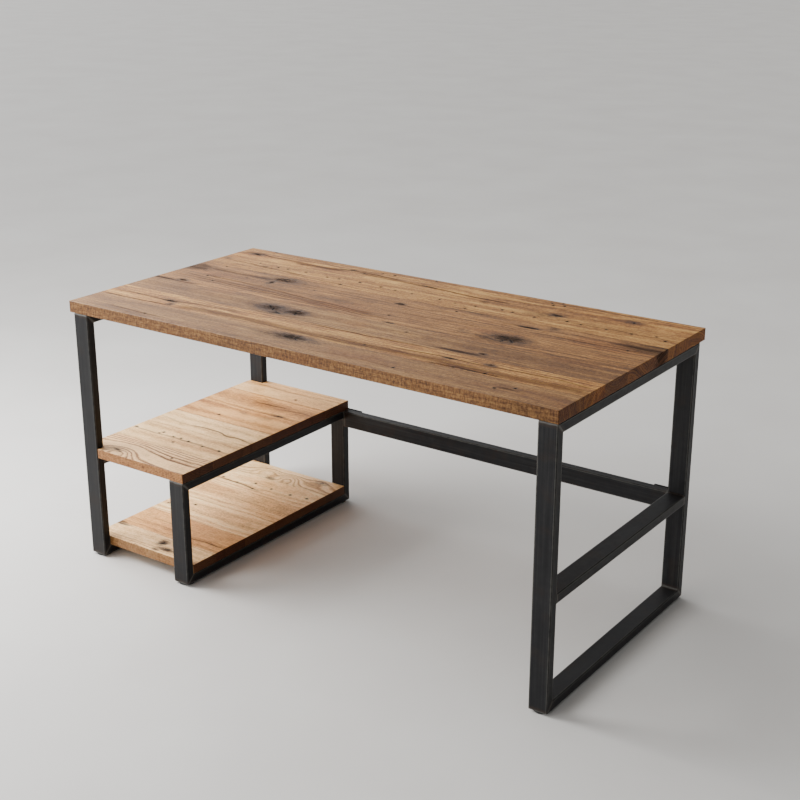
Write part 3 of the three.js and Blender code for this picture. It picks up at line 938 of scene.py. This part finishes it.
def add_board(node, board, first, last, notch, pilots):
    """One plank, with the pilot holes for the screws that fall inside it."""
    rng = random.Random(board["seed"])
    low, high = box(node)
    corners = board_corners(node, first, last, notch)
    rim = [Vector(corner[:2]) for corner in corners]
    outline = board_outline(corners, board["seed"])
    shell = Shell()

    def loop(level, rise, inward=0.0):
        """Points round the board, raised and moved inward by shares of how much its edges are eased."""
        return [shell.point((*(p - inset * inward), level + drop * rise)) for p, inset, drop in outline]

    turns = [step / ARC_STEPS * math.pi / 2 for step in range(ARC_STEPS + 1)]
    loops = [loop(low.z, 1 - math.cos(turn), 1 - math.sin(turn)) for turn in turns]
    loops += [loop(low.z + (high.z - low.z) * share, 1 - 2 * share) for share in (0.33, 0.67)]
    loops += [loop(high.z, math.cos(turn) - 1, 1 - math.sin(turn)) for turn in reversed(turns)]
    shell.skin(loops)
    holes = [Pit(x, y, PILOT_RADIUS, PILOT_RADIUS, 0, PILOT_DEPTH, 0.9, rng) for x, y in pilots]
    holes = [hole for hole in holes if all(well_inside(p, rim, PIT_MARGIN) for p in hole.ring(0))]
    fill_board_face(shell, loops[-1], rim, high.z, -1, board_pits(board, rim, rng), board["knots"], rng)
    fill_board_face(shell, loops[0], rim, low.z, 1, holes, [], rng)
    show_node(node, shell, [oak(f"oak_{node}", board), HOLE_WOOD])


def add_panel(prefix, plain, boards, seed, screws, notches=(None, None)):
    """A panel's boards, front to rear, with notches in its left corners if given."""
    for i, board in enumerate(boards):
        first, last = i == 0, i == len(boards) - 1
        notch = notches[0] if first else notches[1] if last else None
        board = {**plain, **board, "seed": seed + i}
        add_board(f"{prefix}_{i + 1}", board, first, last, notch, plan_places(screws))


def add_boards():
    front_leg, rear_leg = box("left_front_leg"), box("left_rear_leg")
    front_notch = (front_leg[1].x + NOTCH_CLEARANCE, front_leg[1].y + NOTCH_CLEARANCE)
    rear_notch = (rear_leg[1].x + NOTCH_CLEARANCE, rear_leg[0].y - NOTCH_CLEARANCE)
    screws = [name for side in SIDES for name in top_screws(side)]
    add_panel("top_board", PLAIN, TOP_BOARDS, TOP_SEED, screws)
    screws = [name for side in SIDES for name in shelf_screws("upper", side)]
    notches = (front_notch, rear_notch)
    add_panel("upper_shelf_board", SHELF_PLAIN, UPPER_SHELF_BOARDS, UPPER_SEED, screws, notches)
    screws = [name for side in SIDES for name in shelf_screws("lower", side)]
    add_panel("lower_shelf_board", SHELF_PLAIN, LOWER_SHELF_BOARDS, LOWER_SEED, screws)


# ---- steel ----

TUBE_WIDTH = 50.8
TUBE_DEPTH = 25.4
TUBE_WALL = 2.1
TUBE_CORNER = 3.0
CORNER_STEPS = 6
FLAT_HOLLOW = 0.1
WELD_CORNER = 3.2
# How far from a tube's ends it has rings of points, is lumpy from the weld, and is marked by its heat
STATIONS = (0, 0.5, 1.1, 1.8, 2.6, 3.6, 5, 8, 13, 22)
LUMP_REACH = 1.8
WELD_REACH = 13
# How far the welded ends close the small gaps that the CAD solids keep
MITRE_GAP = 0.2
BUTT_GAP = 0.28
# Radii of the holes, and how far their cutters stand out
SCREW_HOLE = 3.0
STEM_HOLE = 4.4
BOLT_HOLE = 3.3
HOLE_SIDES = 24
CUT_OVER = 5
# Features of the drawn-out mill scale to the millimetre
ALONG, ACROSS = 0.003, 0.2


def raw_steel(name, stretch):
    """Hot-rolled tube under wax: blue-black mill scale drawn out one way, paler on welds, and paler on corners
    partly from wear and partly from painted highlight.
    """
    finish = Finish(name)
    graph = finish.graph
    bands = graph.noise(finish.point, stretch, 3.0, 0.6)
    clouds = finish.noise(0.011, 5.0, 0.6)
    blotches = finish.noise(0.06, 4.0, 0.6)
    speckle = finish.noise(0.9)
    value = 0.5 + clouds.swing(0.2) + blotches.swing(0.25) + bands.swing(0.7)
    steel = graph.ramp(value, (0.25, "141416"), (0.5, "1b1b1d"), (0.75, "252525"))
    steel = graph.mix(graph.smooth(finish.noise(0.02, 3.0), 0.5, 0.75, 0.0, 0.35), steel, "2a2019")
    steel = graph.mix(graph.smooth(speckle, 0.62, 0.75, 0.0, 0.25), steel, "3a3936")

    weld = graph.attribute("weld")
    steel = graph.mix(graph.smooth(weld + blotches.swing(0.25), 0.05, 0.4, 0.0, 0.5), steel, "32261f")
    steel = graph.mix(graph.smooth(weld + blotches.swing(0.3), 0.5, 0.95, 0.0, 0.8), steel, "5a5955")
    # Paler corners: partly rubbed wear, partly painted highlight, in two light bands at the ends of each
    # corner's arc with a darker line between
    wear_and_highlight = graph.smooth(graph.attribute("edge") + blotches.swing(0.45), 0.4, 1.1, 0.0, 0.7)
    steel = graph.mix(wear_and_highlight, steel, "4b4a46")
    rough = 0.46 + blotches.swing(0.14) + bands.swing(0.16) + speckle.swing(0.05) - wear_and_highlight * 0.08
    height = blotches * 0.5 + speckle * 0.2 + bands
    return finish.look(steel, rough, height, 0.35, 0.12, Metallic=0.25, Specular_IOR_Level=0.2)


def black_zinc():
    finish = Finish("black_zinc")
    patches = finish.noise(0.5, 3.0)
    base = finish.graph.ramp(patches, (0.3, "262628"), (0.7, "3a3a3d"))
    rough = finish.graph.smooth(patches, 0.2, 0.8, 0.3, 0.45)
    return finish.look(base, rough, patches, 0.3, 0.05, Metallic=0.9)


def black_nylon():
    finish = Finish("black_nylon")
    pebbles = finish.noise(1.6)
    dust = finish.noise(0.12, 3.0)
    base = finish.graph.ramp(dust, (0.35, "171717"), (0.75, "2a2928"))
    rough = finish.graph.smooth(dust, 0.3, 0.8, 0.5, 0.75)
    return finish.look(base, rough, pebbles, 0.4, 0.1)


STEEL_X = raw_steel("raw_steel_x", (ALONG, ACROSS, ACROSS))
STEEL_Y = raw_steel("raw_steel_y", (ACROSS, ALONG, ACROSS))
STEEL_Z = raw_steel("raw_steel_z", (ACROSS, ACROSS, ALONG))
ZINC = black_zinc()
NYLON = black_nylon()


def tube_section(inset):
    """The tube's outline in (x, y), set in: (place, outward normal, weight of wear and painted highlight, from
    0 to 1 on a corner).
    """
    side, near, far = TUBE_WIDTH / 2 - TUBE_CORNER, TUBE_CORNER, TUBE_DEPTH - TUBE_CORNER
    centres = [Vector(place) for place in ((side, near), (side, far), (-side, far), (-side, near))]
    radius = TUBE_CORNER - inset
    section = []
    for i, centre in enumerate(centres):
        for step in range(CORNER_STEPS + 1):
            angle = math.radians(90 * (i - 1) + 90 * step / CORNER_STEPS)
            normal = Vector((math.cos(angle), math.sin(angle)))
            # Painted highlight with wear: the weight is 1 at both ends of a corner's arc and 0.5 in its
            # middle, for two light bands
            section.append((centre + normal * radius, normal, 0.5 + abs(step / CORNER_STEPS - 0.5)))
        start, end = section[-1][0], centres[(i + 1) % 4] + normal * radius
        flat = (end - start).length
        for reach, wear_and_highlight in ((1.5, 0.45), (5.0, 0.0), (flat / 2, 0.0), (flat - 5.0, 0.0), (flat - 1.5, 0.45)):
            sink = FLAT_HOLLOW if reach == flat / 2 else 0.0
            section.append((start.lerp(end, reach / flat) - normal * sink, normal, wear_and_highlight))
    return section


def rounded_weld_corner(y, z):
    """Moves a point near a mitred end, y and z from its two outer faces, to round over their edge."""
    if y >= WELD_CORNER or z >= WELD_CORNER:
        return y, z
    radius = WELD_CORNER - y
    turn = math.pi / 4 * (WELD_CORNER - z) / radius
    return WELD_CORNER - radius * math.cos(turn), WELD_CORNER - radius * math.sin(turn)


def tube_mesh(name, length, mitred, matrix):
    """A tube along its own z, its wide outer face at y = 0, with mitred or square ends."""
    shell = Shell()
    edges, welds = [], []

    def loop(section, away, at_start, outside):
        """Points round the tube at so many millimetres from one of its ends."""
        made = []
        for (x, y), normal, wear_and_highlight in section:
            z = away + (y if mitred else 0)
            if mitred and outside:
                y, z = rounded_weld_corner(y, z)
            z = z if at_start else length - z
            if outside and away < LUMP_REACH:
                lump = noise.noise(matrix @ Vector((x, y, z)) * 0.13)
                rise = (0.1 + 0.12 * lump) * (1 - away / LUMP_REACH)
                x, y = x + normal.x * rise, y + normal.y * rise
            made.append(shell.point((x, y, z)))
            edges.append(wear_and_highlight)
            welds.append(max(0.0, 1 - away / WELD_REACH))
        return made

    outer = tube_section(0)
    loops = [loop(outer, away, True, True) for away in STATIONS]
    loops += [loop(outer, away, False, True) for away in reversed(STATIONS)]
    bore_start, bore_end = (loop(tube_section(TUBE_WALL), 0, at_start, False) for at_start in (True, False))
    shell.skin([*loops, bore_end, bore_start, loops[0]])
    return shell.move(matrix).mesh(name, edge=edges, weld=welds)


def cut_holes(mesh, holes):
    """Cuts round holes, each (radius, start, end), out of a mesh."""
    cutter = Shell()
    for radius, start, end in holes:
        turn = Z_AXIS.rotation_difference(end - start).to_matrix()
        angles = [FULL_TURN * i / HOLE_SIDES for i in range(HOLE_SIDES)]
        rays = [turn @ Vector((radius * math.cos(angle), radius * math.sin(angle), 0)) for angle in angles]
        cutter.skin([[cutter.point(base + ray) for ray in rays] for base in (start, end)], capped=True)
    body, tool = add_object("cut_body", mesh), add_object("cut_tool", cutter.mesh("cut_tool"))
    cut = body.modifiers.new("cut", "BOOLEAN")
    cut.operation = "DIFFERENCE"
    cut.object = tool
    cut.solver = "EXACT"
    graph = bpy.context.evaluated_depsgraph_get()
    done = bpy.data.meshes.new_from_object(body.evaluated_get(graph))
    for made in (body, tool):
        bpy.data.objects.remove(made)
    return done


def add_tube(node, steel, matrix, length, mitred, holes=()):
    """One tube of a frame, with the holes that its screws or feet need."""
    mesh = tube_mesh(f"{node}_fine", length, mitred, matrix)
    if holes:
        mesh = cut_holes(mesh, holes)
    show(f"{node}_fine", mesh, [steel], [node])


def add_leg(node, at_front):
    """A leg. Its wide outer face looks to the front or to the rear."""
    low, high = box(node)
    turn = 1 if at_front else -1
    origin = Vector(((low.x + high.x) / 2, low.y if at_front else high.y, low.z - MITRE_GAP))
    matrix = axes(X_AXIS * turn, Y_AXIS * turn, Z_AXIS, origin)
    add_tube(node, STEEL_Z, matrix, high.z - low.z + 2 * MITRE_GAP, True)


def add_level_rail(node, outer_down, mitred, holes):
    """A rail along Y. Its wide outer face looks down or up."""
    low, high = box(node)
    turn = 1 if outer_down else -1
    gap = MITRE_GAP if mitred else BUTT_GAP
    origin = Vector(((low.x + high.x) / 2, low.y - gap, low.z if outer_down else high.z))
    matrix = axes(-X_AXIS * turn, Z_AXIS * turn, Y_AXIS, origin)
    add_tube(node, STEEL_Y, matrix, high.y - low.y + 2 * gap, mitred, holes)


def upright_holes(nodes, radius, low, high):
    """Holes where the named screws or feet stand."""
    return [(radius, Vector((x, y, low)), Vector((x, y, high))) for x, y in plan_places(nodes)]


def screw_holes(rail, screws):
    """Holes right through a rail."""
    low, high = box(rail)
    return upright_holes(screws, SCREW_HOLE, low.z - CUT_OVER, high.z + CUT_OVER)


def add_frames():
    lower_left, lower_right = (shelf_screws("lower", side) for side in SIDES)
    for side, screws in (("left", lower_left), ("inner", lower_right), ("right", [])):
        add_leg(f"{side}_front_leg", True)
        add_leg(f"{side}_rear_leg", False)
        rail = f"{side}_bottom_rail"
        level = box(rail)[0].z
        feet = [f"{side}_{end}_foot" for end in ENDS]
        holes = upright_holes(feet, STEM_HOLE, level - CUT_OVER, level + TUBE_WALL + 2)
        add_level_rail(rail, True, True, holes + screw_holes(rail, screws))
    for rail, mitred, screws in (
        ("left_top_rail", True, top_screws("left")),
        ("right_top_rail", True, top_screws("right")),
        ("left_mid_rail", False, shelf_screws("upper", "left")),
        ("inner_top_rail", True, shelf_screws("upper", "right")),
        ("right_mid_rail", False, []),
    ):
        add_level_rail(rail, False, mitred, screw_holes(rail, screws))
    low, high = box("back_rail")
    matrix = axes(Z_AXIS, -Y_AXIS, X_AXIS, Vector((low.x, high.y, (low.z + high.z) / 2)))
    add_tube("back_rail", STEEL_X, matrix, high.x - low.x, False)


# ---- weld beads and splice plates ----

BEAD_STEP = 0.8
BEAD_SECTION = (
    (-0.3, -0.3), (1.0, -0.25), (0.98, 0.06), (0.62, 0.36), (0.36, 0.62), (0.06, 0.98), (-0.25, 1.0),
)
# Edge and weld weights for beads and plates: the edge weight pales them, partly as wear, partly as painted
# highlight
BEAD_WEAR_AND_HIGHLIGHT = {"edge": 0.35, "weld": 0.55}
RAIL_BEAD, RAIL_BEAD_INSET = 2.2, 4.0
LEG_GAP = 0.3
PLATE_BEAD, PLATE_BEAD_INSET = 2.0, 6
PLATE_CORNER = 3.0
PLATE_EASE = 0.5
PLATE_WEAR_AND_HIGHLIGHT = {"edge": 0.5, "weld": 0.0}


def add_bead(shell, start, end, first_face, second_face, size):
    """A rippled fillet weld along a line, in the corner between two faces given by their outward normals."""
    if first_face.cross(second_face).dot(end - start) < 0:
        start, end = end, start
    count = max(6, round((end - start).length / BEAD_STEP))
    loops = []
    for i in range(count + 1):
        share = i / count
        place = start.lerp(end, share)
        swell = 0.86 + 0.1 * math.sin(i * 1.35) + 0.12 * noise.noise(place * 0.2)
        reach = size * swell * min(1.0, 0.35 + 4 * min(share, 1 - share))
        section = [(first_face * u + second_face * v) * reach for u, v in BEAD_SECTION]
        loops.append([shell.point(place + offset) for offset in section])
    shell.skin(loops, capped=True)


def add_rail_welds(side, top_bare):
    """Fillets across a mid rail's lower face, and its upper one if nothing lies on it, at both ends."""
    low, high = box(f"{side}_mid_rail")
    welds = Shell()
    levels = [(low.z, -Z_AXIS)] + ([(high.z, Z_AXIS)] if top_bare else [])
    for y, off_leg in ((low.y - LEG_GAP, Y_AXIS), (high.y + LEG_GAP, -Y_AXIS)):
        for z, off_rail in levels:
            start, end = (Vector((x, y, z)) for x in (low.x + RAIL_BEAD_INSET, high.x - RAIL_BEAD_INSET))
            add_bead(welds, start, end, off_leg, off_rail, RAIL_BEAD)
    name = f"{side}_frame_welds"
    show(name, welds.mesh(name, **BEAD_WEAR_AND_HIGHLIGHT), [STEEL_X])


def plate_shell(low, high):
    """A plate that stands across Y, with rounded corners and eased edges."""
    shell = Shell()
    middle, half = (low + high) / 2, (high - low) / 2
    outline = []
    for i, (sign_x, sign_z) in enumerate(((1, -1), (1, 1), (-1, 1), (-1, -1))):
        x, z = sign_x * (half.x - PLATE_CORNER), sign_z * (half.z - PLATE_CORNER)
        for step in range(5):
            angle = math.radians(90 * (i - 1) + 90 * step / 4)
            normal = Vector((math.cos(angle), 0, math.sin(angle)))
            outline.append((Vector((middle.x + x, 0, middle.z + z)) + normal * PLATE_CORNER, normal))
    loops = []
    slight = PLATE_EASE * 0.3
    for y, inset in (
        (high.y, PLATE_EASE), (high.y - slight, slight), (high.y - PLATE_EASE, 0),
        (low.y + PLATE_EASE, 0), (low.y, PLATE_EASE),
    ):
        loops.append([shell.point(place - normal * inset + Y_AXIS * y) for place, normal in outline])
    shell.skin(loops, capped=True)
    return shell


def add_splice_plates():
    welds = Shell()
    rail_low, rail_high = box("back_rail")
    for side, outward in (("left", X_AXIS), ("right", -X_AXIS)):
        node = f"{side}_splice_plate"
        low, high = box(node)
        bolts = [box(f"{side}_splice_bolt_{end}") for end in ("lower", "upper")]
        middles = [(a + b) / 2 for a, b in bolts]
        holes = [(BOLT_HOLE, *(Vector((m.x, y, m.z)) for y in (low.y - 2, high.y + 2))) for m in middles]
        mesh = cut_holes(plate_shell(low, high).mesh(f"{node}_fine", **PLATE_WEAR_AND_HIGHLIGHT), holes)
        show(f"{node}_fine", mesh, [STEEL_X], [node])
        y, z = rail_high.y, low.z
        start, end = max(low.x, rail_low.x) + 10, min(high.x, rail_high.x) - PLATE_BEAD_INSET
        add_bead(welds, Vector((start, y, z)), Vector((end, y, z)), -Z_AXIS, Y_AXIS, PLATE_BEAD)
        x = high.x if side == "left" else low.x
        start, end = z + PLATE_BEAD_INSET, rail_high.z - PLATE_BEAD_INSET
        add_bead(welds, Vector((x, y, start)), Vector((x, y, end)), outward, Y_AXIS, PLATE_BEAD)
    show("splice_plate_welds", welds.mesh("splice_plate_welds", **BEAD_WEAR_AND_HIGHLIGHT), [STEEL_X])


# ---- fasteners and feet ----

TURNED_SIDES = 48
THREAD_STEPS = 6


def turned(profile):
    """A turned solid along z, from rings (radius, z), (radius, z, number of flats) or, on a thread,
    (radius, z, depth, pitch). The first and last rings are points on the axis."""
    shell = Shell()
    loops = []
    for radius, height, *kind in profile[1:-1]:
        ring = []
        for i in range(TURNED_SIDES):
            angle = FULL_TURN * i / TURNED_SIDES
            reach = radius
            if len(kind) == 2:
                depth, pitch = kind
                phase = (height / pitch - i / TURNED_SIDES) % 1
                reach = radius - depth * abs(2 * phase - 1)
            elif kind:
                flat = FULL_TURN / kind[0]
                reach = radius / math.cos((angle + flat / 2) % flat - flat / 2)
            ring.append(shell.point((reach * math.cos(angle), reach * math.sin(angle), height)))
        loops.append(ring)
    bottom, top = (shell.point((0, 0, end[1])) for end in (profile[0], profile[-1]))
    shell.skin(loops)
    shell.fan(loops[0][::-1], bottom)
    shell.fan(loops[-1], top)
    return shell


def thread(radius, depth, pitch, start, end):
    """Rings of a threaded stretch."""
    count = max(2, round((end - start) / pitch * THREAD_STEPS))
    return [(radius, start + (end - start) * i / count, depth, pitch) for i in range(count + 1)]


def add_bolt(node):
    """A button-head bolt with a hex socket. It points to the front, with its head behind the plate."""
    low, high = box(node)
    head, radius, shank = 3.3, 6.0, 3.0
    length = high.y - low.y - head
    crown = [(radius * math.cos(turn), head * math.sin(turn)) for turn in (0.25, 0.5, 0.75, 1.0, 1.2)]
    profile = [
        (0, -length), (shank - 0.7, -length), *thread(shank, 0.5, 1.0, -length + 0.7, -1.2),
        (shank, -0.8), (shank, 0), (radius - 0.3, 0), (radius, 0.35), *crown,
        (2.25, head), (2.0, head, 6), (1.9, head - 0.25, 6), (1.9, 1.2, 6), (0, 0.7),
    ]
    origin = Vector(((low.x + high.x) / 2, low.y + length, (low.z + high.z) / 2))
    shell = turned(profile).move(axes(X_AXIS, -Z_AXIS, Y_AXIS, origin))
    show_node(node, shell, [ZINC])


def add_wood_screw(node):
    """A pan-head wood screw with a square socket, point up."""
    low, high = box(node)
    head, radius, shank = 3.0, 5.5, 2.4
    length = high.z - low.z - head
    profile = [
        (0, -head + 1.6), (1.3, -head + 1.8, 4), (1.35, -head + 0.15, 4), (1.5, -head, 4),
        (2.4, -head), (4.0, -head + 0.25), (5.0, -head + 1.0), (radius, -1.2), (radius, -0.2),
        (radius - 0.2, 0), (shank, 0), (shank, 4), *thread(shank, 0.75, 2.4, 5, length - 6),
        (shank * 0.55, length - 3), (0.5, length - 0.4), (0, length),
    ]
    matrix = Matrix.Translation(Vector(((low.x + high.x) / 2, (low.y + high.y) / 2, low.z + head)))
    show_node(node, turned(profile).move(matrix), [ZINC])


def add_foot(node):
    """A levelling foot: a low moulded base round a threaded steel stem."""
    low, high = box(node)
    base, radius, stem = 4.7, 21.0, 4.0
    height = high.z - low.z
    shell = turned([
        (0, 0.3), (8, 0.3), (9, 0), (radius - 1.6, 0), (radius - 0.5, 0.3), (radius, 1.0), (radius, 2.9),
        (radius - 0.4, 3.6), (radius - 1.6, 4.2), (radius - 4, 4.5), (12, base), (7.2, base), (6.9, base, 6),
        (stem + 0.6, base, 6), (stem, base + 0.3), *thread(stem, 0.55, 1.25, base + 0.6, height - 1),
        (stem - 1, height), (0, height),
    ])
    for i, face in enumerate(shell.faces):
        if all(shell.points[corner].z > base + 0.1 for corner in face):
            shell.kinds[i] = 1
    shell.move(Matrix.Translation(Vector(((low.x + high.x) / 2, (low.y + high.y) / 2, low.z))))
    show_node(node, shell, [NYLON, ZINC], node)


def add_hardware():
    for node in sorted(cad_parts):
        if "_splice_bolt_" in node:
            add_bolt(node)
        elif "_screw_" in node:
            add_wood_screw(node)
        elif node.endswith("_foot"):
            add_foot(node)


# ---- stage ----

FLOOR_REACH = 45
SURROUND_STRENGTH = 4.3
BEHIND_LEFT = (-0.97, 0.02, 0.24)
FRONT_LEFT = (-0.6, -0.78, 0.18)
FRONT_SHARE = 0.9
LAMP_PLACE = (-1.8, -0.68, 1.6)
LAMP_POWER = 350
LAMP_RADIUS = 0.7


def add_floor():
    finish = Finish("pale_floor")
    base = finish.graph.ramp(finish.noise(0.002, 3.0), (0.3, "cfccc8"), (0.7, "d6d4d0"))
    finish.graph.put(finish.inputs["Base Color"], base)
    finish.inputs["Roughness"].default_value = 0.6
    mesh = bpy.data.meshes.new("floor")
    corners = [(x * FLOOR_REACH, y * FLOOR_REACH, 0) for x, y in ((-1, -1), (1, -1), (1, 1), (-1, 1))]
    mesh.from_pydata(corners, [], [(0, 1, 2, 3)])
    mesh.materials.append(finish.material)
    add_object("floor", mesh)


def add_light():
    """Soft studio light: one broad bright side at the left, like a wall of windows, and a dim right side."""
    world = bpy.data.worlds.new("surround")
    bpy.context.scene.world = world
    world.use_nodes = True
    graph = Graph(world.node_tree)
    sky = world.node_tree.nodes["Background"]
    direction = graph.place("Generated")
    behind, front = (graph.vector("DOT_PRODUCT", direction, way) for way in (BEHIND_LEFT, FRONT_LEFT))
    window = graph.math("MULTIPLY_ADD", graph.math("MAXIMUM", behind, front * FRONT_SHARE), 0.5, 0.5)
    shade = graph.ramp(window, (0.0, 0.05), (0.5, 0.07), (0.77, 0.1), (0.88, 0.42), (0.96, 1.0))
    graph.put(sky.inputs["Color"], shade)
    sky.inputs["Strength"].default_value = SURROUND_STRENGTH
    data = bpy.data.lights.new("window_lamp", "POINT")
    data.energy = LAMP_POWER
    data.shadow_soft_size = LAMP_RADIUS
    lamp = add_object("window_lamp", data)
    lamp.location = LAMP_PLACE
    lamp.visible_camera = False


# ---- the scene ----

add_camera()
add_boards()
add_frames()
add_rail_welds("left", False)
add_rail_welds("right", True)
add_splice_plates()
add_hardware()
add_floor()
add_light()

bpy.context.view_layer.update()
